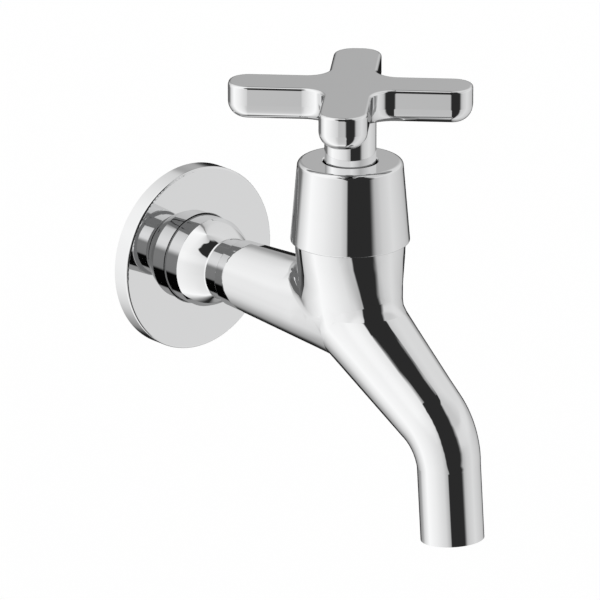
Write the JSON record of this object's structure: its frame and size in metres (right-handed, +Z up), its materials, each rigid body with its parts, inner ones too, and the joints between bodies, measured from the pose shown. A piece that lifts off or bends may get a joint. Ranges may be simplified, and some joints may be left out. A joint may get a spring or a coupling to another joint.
{
  "type": "wall-mounted cold water tap",
  "caption": "Screw-down bib tap with a round wall flange, a tapered bonnet cover, a cross handle and a bent down-turned spout.",
  "frame": {"origin": "on the axis of the inlet thread, at the finished face of the wall", "axes": "+Y points into the wall along the inlet, +Z is up, and the tap reaches out of the wall along -Y"},
  "size_m": [0.055, 0.1408, 0.1258],
  "materials": {
    "body_chrome": "polished chrome plate on brass",
    "flange_chrome": "polished chrome plate on brass",
    "cover_chrome": "polished chrome plate on brass",
    "handle_chrome": "polished chrome plate on brass",
    "headwork_brass": "turned brass",
    "gland_brass": "turned brass",
    "spindle_brass": "turned brass",
    "jumper_brass": "turned brass",
    "screw_steel": "plain stainless steel",
    "ring_rubber": "black rubber",
    "washer_rubber": "black rubber",
    "gasket_fibre": "red vulcanised fibre",
    "packing": "graphited packing"
  },
  "bodies": {
    "fixed": {"tap_body": "body_chrome", "wall_flange": "flange_chrome", "flange_ring": "ring_rubber", "bonnet_cover": "cover_chrome", "head_washer": "gasket_fibre", "headwork": "headwork_brass", "gland_washer": "gland_brass", "gland_packing": "packing", "gland_nut": "gland_brass"},
    "valve": {"jumper": "jumper_brass", "tap_washer": "washer_rubber", "washer_nut": "jumper_brass"},
    "handle": {"spindle": "spindle_brass", "cross_handle": "handle_chrome", "grub_screw": "screw_steel"}
  },
  "joints": [
    {"name": "valve_lift", "type": "slide", "parent": "fixed", "child": "valve", "axis": [0, 0, 1], "range_m": [0, 0.004]},
    {"name": "handle_turn", "type": "hinge", "parent": "valve", "child": "handle", "pos_m": [0, -0.073, 0.05], "axis": [0, 0, 1], "range_deg": [0, 720]}
  ],
  "couplings": [
    {"joint": "valve_lift", "follows": "handle_turn", "m_per_rad": 0.0003183}
  ]
}
